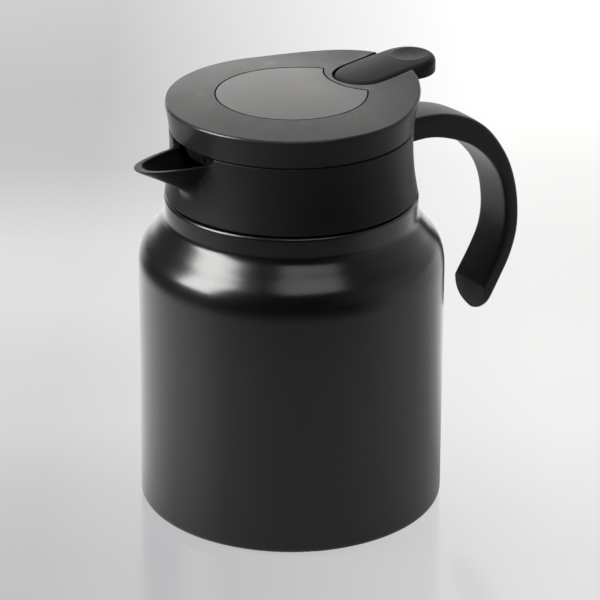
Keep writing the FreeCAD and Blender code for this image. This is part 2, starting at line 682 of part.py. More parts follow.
def make_lever():
    lever = lever_blank()
    top_edges = [e for e in lever.Edges if e.BoundBox.ZMin > 169.2
                 and e.BoundBox.ZLength < 6.5 and e.BoundBox.ZMax > 170.9]
    sharp_volume = lever.Volume
    lever = first_good_fillet(lever, (2.6, 2.2, 1.8, 1.4, 0.8), top_edges,
                              lambda s: s.isValid() and s.Volume < sharp_volume)
    lower = [e for e in lever.Edges if e.BoundBox.ZMax < 171.5 and e.BoundBox.XMin > 49]
    lever = fillet_if_possible(lever, 0.6, lower)
    # Thumb dish.
    lever = lever.cut(Part.makeSphere(DISH_R, Vector(54.9, 0, 176.17 + DISH_R - DISH_DEPTH)))
    # Hollows for the pivot ears, leaving side walls and a central rib.
    for y0, y1 in ((-HOLLOW_OUT, -HOLLOW_IN), (HOLLOW_IN, HOLLOW_OUT)):
        lever = lever.cut(box(28.5, 44.0, y0, y1, 150, 168.2))
    flanks = box(26.0, 31.5, -HOLLOW_OUT, -5.3, 150, 170)
    flanks = flanks.fuse(box(26.0, 31.5, 5.3, HOLLOW_OUT, 150, 170))
    relief = box(26.0, 31.5, -HOLLOW_OUT, HOLLOW_OUT, 150, 163.6)
    lever = lever.cut(relief.common(flanks))
    lever = lever.fuse(lever_arm())
    pivot = cylinder(PIN_R + PIVOT_GAP, 30, Vector(PIN_X, -15, PIN_Z), ALONG_Y)
    return as_solid(lever.cut(pivot))


# ---------------------------------------------------------------- valve
SPRING_R = 6.0
SPRING_TURNS = 5.0
WIRE_W = 0.55            # half width of the spring's flat wire
WIRE_H = 0.35            # half height of the wire


def make_valve_stem():
    """Stem with a head on top and a groove for the clip below."""
    stem = cylinder(STEM_R, 26.6, Vector(0, 0, 134.6))
    stem = stem.fuse(cylinder(4.6, 1.9, Vector(0, 0, 160.1)))
    return stem.cut(ring(1.6, 3.0, 135.85, 136.55))


def make_valve_disc():
    return revolve([
        (STEM_R, 136.6), (13.6, 136.6), (14.2, 137.2), (14.0, 138.2), (13.2, 138.6),
        (4.8, 138.6), (4.4, 141.2), (STEM_R, 141.2)])


def make_valve_seal():
    return revolve([(9.5, 135.9), (11.6, 135.52), (13.8, 135.52),
                    ("arc", (14.2, 135.9), (14.3, 136.6)), (9.5, 136.6)])


def make_stem_clip():
    return ring(1.62, 3.7, 135.9, 136.5).cut(box(0, 5, -1.0, 1.0, 135, 137))


def make_valve_spring():
    bottom, top = 138.66 + WIRE_H, 150.94 - WIRE_H
    helix = Part.makeHelix((top - bottom) / SPRING_TURNS, top - bottom, SPRING_R)
    helix.translate(Vector(0, 0, bottom))
    section = Part.makePolygon([
        Vector(SPRING_R + a * WIRE_W, 0, bottom + b * WIRE_H)
        for a, b in ((-1, -1), (1, -1), (1, 1), (-1, 1), (-1, -1))])
    return as_solid(Part.Wire(helix).makePipeShell([section], True, True))


# ---------------------------------------------------------------- export
MAKERS = (
    make_outer_shell, make_inner_liner, make_base_cup, make_vacuum_seal_cap,
    make_getter_pellet, make_radiation_foil, make_base_pad, make_neck_gasket,
    make_snap_ring, make_collar, make_handle_grip, make_handle_core, make_handle_screws,
    make_lid_gasket, make_lid_cover, make_lid_plate, make_lid_core, make_lid_base,
    make_lever_pin, make_lid_screws, make_lever, make_valve_stem, make_valve_disc,
    make_valve_seal, make_stem_clip, make_valve_spring)
# Each file is named after its maker, without the "make_".
for make in MAKERS:
    save(make.__name__[len("make_"):], make())
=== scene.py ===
"""A vacuum jug: black painted steel body, plastic collar with spout, handle and lid.

The jug stands on z = 0 with its axis on +Z. The spout points to -X, the handle to +X.
Meshes are laid out in millimetres; materials, lights and camera are in metres.
"""
import math

import bmesh
import bpy
import numpy as np
from mathutils import Matrix, Vector

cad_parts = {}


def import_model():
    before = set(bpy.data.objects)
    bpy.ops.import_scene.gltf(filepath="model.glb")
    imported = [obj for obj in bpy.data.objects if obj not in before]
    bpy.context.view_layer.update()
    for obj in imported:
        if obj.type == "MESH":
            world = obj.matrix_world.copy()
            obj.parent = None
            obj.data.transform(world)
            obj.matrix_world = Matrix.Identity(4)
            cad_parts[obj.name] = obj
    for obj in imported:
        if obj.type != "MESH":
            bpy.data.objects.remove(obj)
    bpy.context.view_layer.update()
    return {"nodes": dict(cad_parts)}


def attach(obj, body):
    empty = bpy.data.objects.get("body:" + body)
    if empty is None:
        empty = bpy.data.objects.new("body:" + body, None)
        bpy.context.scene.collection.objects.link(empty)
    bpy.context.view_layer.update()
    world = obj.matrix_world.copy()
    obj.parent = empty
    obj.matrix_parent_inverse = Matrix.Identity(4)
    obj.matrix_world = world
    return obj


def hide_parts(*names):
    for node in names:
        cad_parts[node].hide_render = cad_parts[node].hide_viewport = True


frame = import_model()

MM = 0.001

# The camera looks along VIEW (level part), from the -Y side and somewhat from -X.
VIEW_TURN = math.radians(34.0)
VIEW = Vector((math.sin(VIEW_TURN), math.cos(VIEW_TURN), 0.0))
RIGHT = Vector((math.cos(VIEW_TURN), -math.sin(VIEW_TURN), 0.0))
UP = Vector((0.0, 0.0, 1.0))


def add_object(name, data):
    obj = bpy.data.objects.new(name, data)
    bpy.context.scene.collection.objects.link(obj)
    return obj


# ------------------------------------------------------------------ node helpers
MID = (0.3, 0.7)  # the part of a noise's range where most of its values lie


class Graph:
    """Builds nodes in one tree; most methods return an output socket."""

    def __init__(self, tree):
        self.tree = tree
        tree.nodes.clear()

    def feed(self, socket, value):
        """Link a socket, or set a plain value; colours are given as three numbers."""
        if isinstance(value, bpy.types.NodeSocket):
            self.tree.links.new(value, socket)
        elif socket.type == "RGBA":
            socket.default_value = (*value, 1.0)
        else:
            socket.default_value = value

    def node(self, kind, inputs=None, **props):
        node = self.tree.nodes.new(kind)
        for key, value in props.items():
            setattr(node, key, value)
        for key, value in (inputs or {}).items():
            self.feed(node.inputs[key], value)
        return node

    def coords(self, kind="Object"):
        return self.node("ShaderNodeTexCoord").outputs[kind]

    def geometry(self, kind):
        return self.node("ShaderNodeNewGeometry").outputs[kind]

    def ray(self, kind):
        return self.node("ShaderNodeLightPath").outputs[kind]

    def axis(self, vector, index):
        return self.node("ShaderNodeSeparateXYZ", {0: vector}).outputs[index]

    def noise(self, vector, scale, detail=3.0, rough=0.5):
        return self.node("ShaderNodeTexNoise", {
            "Vector": vector, "Scale": scale, "Detail": detail, "Roughness": rough,
            "Distortion": 0.0}).outputs["Fac"]

    def voronoi(self, vector, scale):
        return self.node("ShaderNodeTexVoronoi",
                         {"Vector": vector, "Scale": scale}).outputs["Distance"]

    def stretch(self, vector, scale):
        return self.node("ShaderNodeMapping",
                         {"Vector": vector, "Scale": scale}).outputs["Vector"]

    def remap(self, value, span=(0.0, 1.0), to=(0.0, 1.0)):
        """Map the span linearly onto another range, clamped at its ends."""
        return self.node("ShaderNodeMapRange", {
            "Value": value, "From Min": span[0], "From Max": span[1],
            "To Min": to[0], "To Max": to[1]}, clamp=True).outputs["Result"]

    def math(self, operation, first, second=0.0, clamp=False):
        return self.node("ShaderNodeMath", {0: first, 1: second},
                         operation=operation, use_clamp=clamp).outputs[0]

    def scaled(self, value, by):
        return self.math("MULTIPLY", value, by)

    def vector_math(self, operation, first, second=None):
        inputs = {0: first} if second is None else {0: first, 1: second}
        node = self.node("ShaderNodeVectorMath", inputs, operation=operation)
        return node.outputs["Vector" if operation == "MULTIPLY" else "Value"]

    def along(self, vector, direction):
        return self.vector_math("DOT_PRODUCT", vector, direction)

    def azimuth(self, vector):
        """Degrees round the jug, left of the camera's own side."""
        left = self.along(vector, -RIGHT)
        front = self.along(vector, -VIEW)
        return self.scaled(self.math("ARCTAN2", left, front), by=57.29578)

    def curve(self, value, stops):
        """Piecewise linear curve through (position, value) stops: a sum of clamped ramps."""
        total = None
        for (x0, y0), (x1, y1) in zip(stops[:-1], stops[1:]):
            ramp = self.remap(value, span=(x0, x1), to=(0.0, y1 - y0))
            total = ramp if total is None else self.math("ADD", total, ramp)
        return self.math("ADD", total, stops[0][1])

    def mix(self, fac, first, second):
        return self.node("ShaderNodeMix", {"Factor": fac, 6: first, 7: second},
                         data_type="RGBA").outputs[2]

    def mix_shader(self, fac, first, second):
        return self.node("ShaderNodeMixShader", {0: fac, 1: first, 2: second}).outputs[0]

    def bump(self, height, strength, distance, normal):
        return self.node("ShaderNodeBump", {
            "Height": height, "Strength": strength, "Distance": distance,
            "Normal": normal}).outputs["Normal"]

    def edge(self, radius):
        """A normal that rounds sharp edges in the shading."""
        return self.node("ShaderNodeBevel", {"Radius": radius}, samples=4).outputs["Normal"]

    def bsdf(self, color, rough, normal=None, **others):
        """Principled shader node; underscores in other input names stand for spaces."""
        inputs = {"Base Color": color, "Roughness": rough}
        if normal is not None:
            inputs["Normal"] = normal
        inputs.update((key.replace("_", " "), value) for key, value in others.items())
        return self.node("ShaderNodeBsdfPrincipled", inputs)


class MaterialGraph(Graph):
    def __init__(self, name):
        self.material = bpy.data.materials.new(name)
        self.material.use_nodes = True
        super().__init__(self.material.node_tree)
        self.output = self.node("ShaderNodeOutputMaterial")

    def finish(self, shader):
        self.feed(self.output.inputs["Surface"], shader)
        return self.material


def shade(color, factor):
    return tuple(factor * channel for channel in color)


# ------------------------------------------------------------------ materials
PLASTIC_EDGE = 0.00025                       # shading radius of moulded edges
INLAY_R, BITE_X, BITE_R = 0.0295, 0.0425, 0.0228  # lid inlay: its circle and round bite


def inlay_lip(mat, pos):
    """1 along the lip of the lid inlay, on its circle and its bite."""
    flat = mat.vector_math("MULTIPLY", pos, (1.0, 1.0, 0.0))
    from_axis = mat.vector_math("LENGTH", flat)
    from_bite = mat.vector_math("DISTANCE", flat, (BITE_X, 0.0, 0.0))
    inside = mat.math("MINIMUM", mat.math("SUBTRACT", INLAY_R, from_axis),
                      mat.math("SUBTRACT", from_bite, BITE_R))
    return mat.remap(inside, span=(0.00034, 0.00020))


def matt_end(mat, pos, shader, rough, specular):
    """The cut end, low down and facing -X, keeps the coarse matt of the mould's insert."""
    height = mat.axis(pos, 2)
    facing = mat.axis(mat.geometry("Normal"), 0)
    low = mat.remap(height, span=(0.0725, 0.0700))
    mask = mat.math("MULTIPLY", low, mat.remap(facing, span=(-0.90, -0.97)))
    mat.feed(shader.inputs["Specular IOR Level"],
             mat.math("ADD", specular, mat.scaled(mask, by=0.16)))
    mat.feed(shader.inputs["Roughness"],
             mat.math("ADD", rough, mat.scaled(mask, by=0.25), clamp=True))


def polished_rim(mat, pos, coat, rim):
    """Coat weight, raised where handling polishes the rounded upper rim."""
    height = mat.axis(pos, 2)
    facing = mat.axis(mat.geometry("Normal"), 2)
    tilt = mat.math("MULTIPLY", mat.remap(facing, span=(0.16, 0.34)),
                    mat.remap(facing, span=(0.93, 0.86)))
    mask = mat.math("MULTIPLY", tilt, mat.remap(height, span=(0.163, 0.166)))
    return mat.math("ADD", mat.scaled(mask, by=rim), coat, clamp=True)


def plastic(name, tone, rough, grain, grain_mm=0.32, specular=0.5, coat=0.0, rim=0.0,
            end_face=False, groove_shade=False):
    """Moulded black plastic: spark-textured, with faint flow variation, dust and rubbed edges; on
    request, painted shade on the lid inlay's lip.
    """
    mat = MaterialGraph(name)
    pos = mat.coords()
    cloud = mat.noise(pos, scale=38.0, rough=0.55)
    fine = mat.noise(pos, scale=1.0 / (grain_mm * MM), detail=2.0, rough=0.6)
    pits = mat.voronoi(pos, scale=0.7 / (grain_mm * MM))
    dust = mat.remap(mat.noise(pos, scale=900.0, detail=1.0, rough=0.4), span=(0.70, 0.78))
    base = mat.mix(mat.remap(cloud, span=MID), shade((tone,) * 3, 0.84),
                   shade((tone,) * 3, 1.18))
    base = mat.mix(mat.scaled(dust, by=0.05), base, (0.10, 0.098, 0.095))
    # Rub: exposed convex edges, broken up by noise.
    convex = mat.remap(mat.geometry("Pointiness"), span=(0.53, 0.60))
    rub = mat.math("MULTIPLY", convex,
                   mat.remap(mat.noise(pos, scale=240.0, rough=0.6), span=(0.35, 0.75)))
    base = mat.mix(mat.scaled(rub, by=0.22), base, (0.09, 0.09, 0.088))
    gloss = mat.math("ADD", mat.remap(cloud, span=MID, to=(rough - 0.035, rough + 0.035)),
                     mat.remap(fine, span=MID, to=(-0.03, 0.03)), clamp=True)
    gloss = mat.math("SUBTRACT", gloss, mat.scaled(rub, by=0.10), clamp=True)
    height = mat.math("ADD", mat.scaled(fine, by=0.6), mat.scaled(pits, by=0.5))
    normal = mat.bump(height, strength=grain, distance=0.00012, normal=mat.edge(PLASTIC_EDGE))
    if groove_shade:
        # Painted shade: the inlay's lip is turned near black and loses its specular, standing in
        # for the shadow in the gap round the inlay.
        lip = inlay_lip(mat, pos)
        base = mat.mix(lip, base, (0.0015, 0.0015, 0.0015))
    shader = mat.bsdf(base, gloss, normal, IOR=1.46, Specular_IOR_Level=specular)
    # Painted shade, continued: no specular on the inlay's lip.
    if groove_shade:
        mat.feed(shader.inputs["Specular IOR Level"],
                 mat.scaled(mat.math("SUBTRACT", 1.0, lip), by=specular))
    if end_face:
        matt_end(mat, pos, shader, gloss, specular)
    if coat:
        shader.inputs["Coat Weight"].default_value = coat
        if rim:
            mat.feed(shader.inputs["Coat Weight"], polished_rim(mat, pos, coat, rim))
        shader.inputs["Coat Roughness"].default_value = 0.16
        shader.inputs["Coat IOR"].default_value = 1.45
        mat.feed(shader.inputs["Coat Normal"], mat.edge(PLASTIC_EDGE))
    return mat.finish(shader.outputs[0])


def paint(name):
    """Satin black paint on steel: fine orange peel, soft haze and a few hairline rubs."""
    mat = MaterialGraph(name)
    pos = mat.coords()
    peel = mat.noise(pos, scale=420.0, detail=2.0, rough=0.45)
    fine = mat.noise(pos, scale=2600.0, detail=2.0)
    haze = mat.noise(pos, scale=22.0, detail=4.0, rough=0.6)
    dust = mat.remap(mat.noise(pos, scale=1400.0, detail=1.0, rough=0.4), span=(0.735, 0.80))
    hair = mat.noise(mat.stretch(pos, (1.0, 1.0, 26.0)), scale=60.0, detail=6.0, rough=0.75)
    hair = mat.remap(hair, span=(0.66, 0.74))
    base = mat.mix(mat.remap(haze, span=(0.35, 0.65)), (0.0012, 0.00125, 0.0015),
                   (0.0021, 0.0022, 0.0026))
    base = mat.mix(mat.scaled(dust, by=0.05), base, (0.10, 0.10, 0.10))
    gloss = mat.math("ADD", mat.remap(haze, span=MID, to=(0.222, 0.262)),
                     mat.scaled(hair, by=0.025), clamp=True)
    gloss = mat.math("ADD", gloss, mat.scaled(dust, by=0.08), clamp=True)
    normal = mat.bump(peel, strength=0.05, distance=0.0002, normal=mat.edge(0.0004))
    normal = mat.bump(fine, strength=0.035, distance=0.00005, normal=normal)
    return mat.finish(mat.bsdf(base, gloss, normal, IOR=1.7).outputs[0])


def steel(name, tone=(0.56, 0.55, 0.53), rough=0.26, lines=(1.0, 1.0, 90.0), scale=60.0):
    """Drawn or spun metal with fine brushing lines and water bloom."""
    mat = MaterialGraph(name)
    pos = mat.coords()
    brush = mat.noise(mat.stretch(pos, lines), scale=scale, detail=5.0, rough=0.7)
    bloom = mat.noise(pos, scale=45.0)
    base = mat.mix(mat.remap(bloom, span=MID), shade(tone, 0.9), shade(tone, 1.08))
    gloss = mat.math("ADD",
                     mat.remap(brush, span=(0.25, 0.75), to=(rough - 0.07, rough + 0.09)),
                     mat.remap(bloom, span=MID, to=(-0.02, 0.03)), clamp=True)
    normal = mat.bump(brush, strength=0.10, distance=0.00004, normal=mat.edge(0.0002))
    return mat.finish(mat.bsdf(base, gloss, normal, Metallic=1.0).outputs[0])


def silicone(name, tone, rough):
    mat = MaterialGraph(name)
    pos = mat.coords()
    grain = mat.noise(pos, scale=1500.0, detail=2.0)
    cloud = mat.noise(pos, scale=80.0)
    base = mat.mix(cloud, shade(tone, 0.85), shade(tone, 1.12))
    gloss = mat.remap(grain, span=MID, to=(rough - 0.06, rough + 0.08))
    normal = mat.bump(grain, strength=0.12, distance=0.00006, normal=mat.edge(0.0002))
    return mat.finish(mat.bsdf(base, gloss, normal, Sheen_Weight=0.12).outputs[0])


def sintered(name):
    """Gritty pressed metal powder."""
    mat = MaterialGraph(name)
    grit = mat.voronoi(mat.coords(), scale=3200.0)
    base = mat.mix(mat.remap(grit, span=(0.1, 0.6)), (0.10, 0.10, 0.105), (0.22, 0.22, 0.23))
    gloss = mat.remap(grit, to=(0.55, 0.8))
    bump = mat.node("ShaderNodeBump", {"Height": grit, "Strength": 0.5, "Distance": 0.0001})
    return mat.finish(mat.bsdf(base, gloss, bump.outputs["Normal"], Metallic=0.7).outputs[0])


EVEN = (1.0, 1.0, 1.0)  # no brushing direction
MATERIALS = {
    "outer_shell": paint("satin_black_paint"),
    "collar": plastic("collar_plastic", tone=0.0085, rough=0.47, grain=0.20, specular=0.27),
    "handle_grip": plastic("handle_plastic", tone=0.0200, rough=0.46, grain=0.18,
                           specular=0.26, end_face=True),
    "lid_cover": plastic("lid_plastic", tone=0.0125, rough=0.46, grain=0.15,
                         specular=0.25, coat=0.09, rim=1.0),
    # The plate gets painted shade on its inlay lip.
    "lid_plate": plastic("plate_plastic", tone=0.060, rough=0.42, grain=0.06, grain_mm=0.22,
                         specular=0.34, coat=0.06, groove_shade=True),
    "lever": plastic("lever_plastic", tone=0.0200, rough=0.48, grain=0.13, specular=0.085),
    # Painted shade: the lid's core gets a near-black tone and almost no specular, standing in for
    # the shade inside the pour opening.
    "lid_core": plastic("core_plastic", tone=0.0018, rough=0.66, grain=0.1, specular=0.02),
    "lid_base": plastic("core_plastic_base", tone=0.016, rough=0.5, grain=0.1),
    "valve_stem": plastic("stem_plastic", tone=0.02, rough=0.42, grain=0.08),
    "valve_disc": plastic("disc_plastic", tone=0.02, rough=0.45, grain=0.08),
    "inner_liner": steel("liner_steel"),
    "base_cup": steel("cup_steel", rough=0.33, lines=EVEN, scale=900.0),
    "snap_ring": steel("ring_steel", rough=0.3),
    "handle_core": steel("strap_steel", rough=0.35),
    "handle_screws": steel("screw_steel", rough=0.3, lines=EVEN, scale=1500.0),
    "lid_screws": steel("lid_screw_steel", rough=0.3, lines=EVEN, scale=1500.0),
    "lever_pin": steel("pin_steel", rough=0.22),
    "stem_clip": steel("clip_steel", rough=0.3),
    "valve_spring": steel("spring_steel", rough=0.25, lines=EVEN, scale=1200.0),
    "vacuum_seal_cap": steel("copper_seal", tone=(0.78, 0.42, 0.28), rough=0.3,
                             lines=EVEN, scale=800.0),
    "radiation_foil": steel("copper_foil", tone=(0.80, 0.44, 0.30), rough=0.22,
                            lines=(1.0, 1.0, 30.0), scale=80.0),
    "getter_pellet": sintered("sintered_getter"),
    "base_pad": silicone("foot_rubber", tone=(0.020, 0.020, 0.021), rough=0.55),
    "neck_gasket": silicone("neck_silicone", tone=(0.03, 0.03, 0.03), rough=0.5),
    "lid_gasket": silicone("lid_silicone", tone=(0.34, 0.34, 0.33), rough=0.42),
    "valve_seal": silicone("valve_silicone", tone=(0.34, 0.34, 0.33), rough=0.42),
}
for node_name, cad in frame["nodes"].items():
    cad.data.materials.clear()
    cad.data.materials.append(MATERIALS[node_name])


# ------------------------------------------------------------------ mesh helpers
def hermite(start, end, slope0, slope1, length, u):
    """Cubic from start to end at fraction u, with end slopes per unit of length."""
    return ((2 * u ** 3 - 3 * u ** 2 + 1) * start
            + (u ** 3 - 2 * u ** 2 + u) * length * slope0
            + (3 * u ** 2 - 2 * u ** 3) * end
            + (u ** 3 - u ** 2) * length * slope1)


def spline(points, per, start=None, end=None):
    """Cubic through the points, by chord length in the first two columns.

    per is the number of steps to a span; start and end fix the end directions.
    """
    pts = np.array(points, float)
    count = len(pts)
    chord = np.linalg.norm(np.diff(pts[:, :2], axis=0), axis=1)
    lhs, rhs = np.zeros((count, count)), np.zeros(pts.shape)
    for i in range(1, count - 1):
        before, after = chord[i - 1], chord[i]
        lhs[i, i - 1:i + 2] = 1 / before, 2 * (1 / before + 1 / after), 1 / after
        rhs[i] = 3 * ((pts[i] - pts[i - 1]) / before ** 2 + (pts[i + 1] - pts[i]) / after ** 2)
    for i, j, k, slope in ((0, 1, 0, start), (count - 1, count - 2, count - 2, end)):
        if slope is None:
            lhs[i, i], lhs[i, j] = 2, 1
            rhs[i] = 3 * (pts[k + 1] - pts[k]) / chord[k]
        else:
            lhs[i, i] = 1
            rhs[i] = np.array(slope, float)
    slopes = np.linalg.solve(lhs, rhs)
    out = [pts[0]]
    for i in range(count - 1):
        for step in range(1, per + 1):
            out.append(hermite(pts[i], pts[i + 1], slopes[i], slopes[i + 1], chord[i],
                               step / per))
    return np.array(out)


def smooth_rows(rows):
    """Monotone cubic through rows (z, values...), with Fritsch-Carlson slopes."""
    heights, values = rows[:, 0], rows[:, 1:]
    gaps = np.diff(heights)[:, None]
    secants = np.diff(values, axis=0) / gaps
    slopes = np.zeros_like(values)
    slopes[0], slopes[-1] = secants[0], secants[-1]
    for i in range(1, len(heights) - 1):
        before, after = secants[i - 1], secants[i]
        w_before, w_after = 2 * gaps[i] + gaps[i - 1], gaps[i] + 2 * gaps[i - 1]
        with np.errstate(divide="ignore", invalid="ignore"):
            mean = (w_before + w_after) / (w_before / before + w_after / after)
        slopes[i] = np.where(before * after > 0, mean, 0.0)

    def value_at(z):
        z = min(max(z, heights[0]), heights[-1])
        i = min(max(int(np.searchsorted(heights, z)) - 1, 0), len(heights) - 2)
        gap = heights[i + 1] - heights[i]
        return hermite(values[i], values[i + 1], slopes[i], slopes[i + 1], gap,
                       (z - heights[i]) / gap)
    return value_at


def arc3(start, middle, end, steps):
    """Points on the arc from start through middle to end."""
    (ax, ay), (mx, my), (bx, by) = start, middle, end
    a_sq, m_sq, b_sq = ax ** 2 + ay ** 2, mx ** 2 + my ** 2, bx ** 2 + by ** 2
    det = 2 * (ax * (my - by) + mx * (by - ay) + bx * (ay - my))
    cx = (a_sq * (my - by) + m_sq * (by - ay) + b_sq * (ay - my)) / det
    cy = (a_sq * (bx - mx) + m_sq * (ax - bx) + b_sq * (mx - ax)) / det
    radius = math.hypot(ax - cx, ay - cy)
    first = math.atan2(ay - cy, ax - cx)
    sweep = math.remainder(math.atan2(by - cy, bx - cx) - first, 2 * math.pi)
    angles = [first + sweep * i / steps for i in range(steps + 1)]
    return [(cx + radius * math.cos(t), cy + radius * math.sin(t)) for t in angles]


def line(start, end, steps):
    (x0, y0), (x1, y1) = start, end
    return [(x0 + (x1 - x0) * i / steps, y0 + (y1 - y0) * i / steps) for i in range(steps + 1)]


def corner(start, control, end, fractions):
    """Points on the quadratic curve that rounds a corner."""
    return [tuple((1 - u) ** 2 * start[i] + 2 * u * (1 - u) * control[i] + u * u * end[i]
                  for i in (0, 1)) for u in fractions]


def tidy(points, gap=1e-4):
    """Drop repeated neighbours of a closed outline."""
    out = []
    for point in points:
        if not out or math.dist(out[-1], point) > gap:
            out.append((float(point[0]), float(point[1])))
    if math.dist(out[0], out[-1]) < gap:
        out.pop()
    return out


def skin(rings, wrap):
    """Quads between equal closed rings; wrap joins last to first, else fans cap the ends."""
    size = len(rings[0])
    verts = [tuple(point) for ring in rings for point in ring]
    faces = []
    for i in range(len(rings) if wrap else len(rings) - 1):
        here, there = i * size, ((i + 1) % len(rings)) * size
        for j in range(size):
            k = (j + 1) % size
            faces.append((here + j, here + k, there + k, there + j))
    if not wrap:
        for i in (0, len(rings) - 1):
            centre = len(verts)
            verts.append(tuple(np.mean(np.array(rings[i]), axis=0)))
            for j in range(size):
                faces.append((i * size + j, i * size + (j + 1) % size, centre))
    return verts, faces


def slice_off(bm, point, normal, below):
    """Cut away the normal's side of a plane, on the part lower than below, and close it."""
    geom = [v for v in bm.verts if v.co.z < below * MM]
    keep = set(geom)
    geom += [e for e in bm.edges if all(v in keep for v in e.verts)]
    geom += [f for f in bm.faces if all(v in keep for v in f.verts)]
    bmesh.ops.bisect_plane(bm, geom=geom, dist=1e-7, plane_co=Vector(point) * MM,
                           plane_no=normal, clear_inner=False, clear_outer=True)
    open_edges = [e for e in bm.edges if len(e.link_faces) == 1]
    bmesh.ops.holes_fill(bm, edges=open_edges, sides=0)
    bmesh.ops.recalc_face_normals(bm, faces=bm.faces)


def drill(obj, radius, x0, x1, y, z):
    """Bore a round hole along X."""
    bore = bmesh.new()
    bmesh.ops.create_cone(bore, cap_ends=True, segments=48, radius1=radius * MM,
                          radius2=radius * MM, depth=(x1 - x0) * MM)
    bore.transform(Matrix.Translation(Vector(((x0 + x1) / 2, y, z)) * MM)
                   @ Matrix.Rotation(math.pi / 2, 4, "Y"))
    tool_mesh = bpy.data.meshes.new("bore")
    bore.to_mesh(tool_mesh)
    bore.free()
    tool = add_object("bore", tool_mesh)
    mod = obj.modifiers.new("bore", "BOOLEAN")
    mod.object, mod.operation, mod.solver = tool, "DIFFERENCE", "EXACT"
    bpy.context.view_layer.update()
    evaluated = obj.evaluated_get(bpy.context.evaluated_depsgraph_get())
    bored = bpy.data.meshes.new_from_object(evaluated)
    obj.modifiers.clear()
    obj.data = bored
    bpy.data.objects.remove(tool)
    bpy.data.meshes.remove(tool_mesh)


def piece(name, rings, node, sharp, wrap=True, cut=None, holes=()):
    """Skin rings given in millimetres into a visual piece that replaces a node.

    sharp is the angle in degrees above which an edge shades as sharp.
    """
    verts, faces = skin(rings, wrap)
    bm = bmesh.new()
    corners = [bm.verts.new((x * MM, y * MM, z * MM)) for x, y, z in verts]
    for face in faces:
        bm.faces.new([corners[i] for i in face])
    bmesh.ops.remove_doubles(bm, verts=bm.verts, dist=2e-7)
    bmesh.ops.recalc_face_normals(bm, faces=bm.faces)
    if cut is not None:
        slice_off(bm, *cut)
    mesh = bpy.data.meshes.new(name)
    bm.to_mesh(mesh)
    bm.free()
    obj = add_object(name, mesh)
    for hole in holes:
        drill(obj, *hole)
    mesh = obj.data
    mesh.name = name
    mesh.polygons.foreach_set("use_smooth", [True] * len(mesh.polygons))
    mesh.set_sharp_from_angle(angle=math.radians(sharp))
    mesh.materials.clear()
    mesh.materials.append(MATERIALS[node])
    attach(obj, "vessel")
    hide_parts(node)


# ------------------------------------------------------------------ painted shell
WALL = 0.8
BODY_R, NECK_R = 60.6, 50.0
BODY_IN, NECK_IN = BODY_R - WALL, NECK_R - WALL
FOOT_Z, LIP_Z = 1.2, 129.8
FOOT_R, LIP_R = 57.0, 42.5  # inner edges of the turned-in foot and lip
SHELL_STEPS = 320
# Outside of the shoulder, (radius, z), from the body up to the neck.
SHOULDER = [(BODY_R, 98.6), (60.45, 102.6), (59.85, 106.2), (58.75, 109.2), (57.1, 111.6),
            (55.0, 114.0), (53.0, 116.6), (51.4, 118.7), (50.45, 120.2), (NECK_R, 122.2)]


def shell():
    outside = spline(SHOULDER, 7, start=(0, 1), end=(0, 1))
    tangent = np.gradient(outside, axis=0)
    tangent /= np.linalg.norm(tangent, axis=1)[:, None]
    inside = outside - WALL * np.stack([tangent[:, 1], -tangent[:, 0]], 1)
    profile = [(FOOT_R, FOOT_Z)]
    profile += arc3((58.4, FOOT_Z), (60.0, 2.05), (BODY_R, 3.8), 10)
    profile += [(BODY_R, 4.4)] + line((BODY_R, 5.2), (BODY_R, 97.0), 10) + [(BODY_R, 98.0)]
    profile += list(outside) + line((NECK_R, 122.8), (NECK_R, 128.4), 4)
    profile += arc3((NECK_R, 128.6), (49.65, 129.45), (48.8, LIP_Z), 8)
    profile += [(48.6, LIP_Z), (LIP_R, LIP_Z), (LIP_R, LIP_Z - WALL)]
    profile += arc3((48.6, LIP_Z - WALL), (49.02, 128.82), (NECK_IN, 128.4), 5)
    profile += list(inside[::-1]) + line((BODY_IN, 98.0), (BODY_IN, 4.2), 4)
    profile += arc3((BODY_IN, 3.9), (59.42, 2.62), (58.3, FOOT_Z + WALL), 6)
    profile = tidy(profile + [(FOOT_R, FOOT_Z + WALL)])
    turns = [2 * math.pi * i / SHELL_STEPS for i in range(SHELL_STEPS)]
    rings = [[(r * math.cos(turn), r * math.sin(turn), z) for r, z in profile]
             for turn in turns]
    piece("shell_visual", rings, "outer_shell", sharp=38.0)


# ------------------------------------------------------------------ collar and spout
# Bearings are degrees round the axis from the spout (-X), positive towards +Y.
BORE_R, SEAT_R = 45.0, 46.25  # inner wall; wider seat above SEAT_Z on the handle side
SEAT_Z = 153.4
BORE_Z = 141.6                # bottom of the plain inner wall
SEAM_Z = 157.0                # top edge, away from the spout
OUT_ROOT_X, IN_ROOT_X = -43.0, -40.0  # where the spout's outlines start
WALL_Z = 130.85
# Outside of the round wall, (radius, z).
WAIST = spline([(49.5, WALL_Z), (48.85, 134.5), (48.2, 139.0), (47.75, 144.0), (47.5, 149.0),
                (47.5, 153.0), (47.68, 156.8)], 12)
# Half the spout's plan: (fraction from root to tip, fraction of the half width).
PLAN = [(0.0, 1.0), (0.12, 0.965), (0.26, 0.91), (0.42, 0.835), (0.58, 0.74), (0.73, 0.62),
        (0.85, 0.49), (0.94, 0.325), (0.985, 0.16), (1.0, 0.0)]
WHOLE_PLAN = spline([(x, -y) for x, y in PLAN] + PLAN[-2::-1], 8)
HALF_PLAN = WHOLE_PLAN[len(WHOLE_PLAN) // 2:]
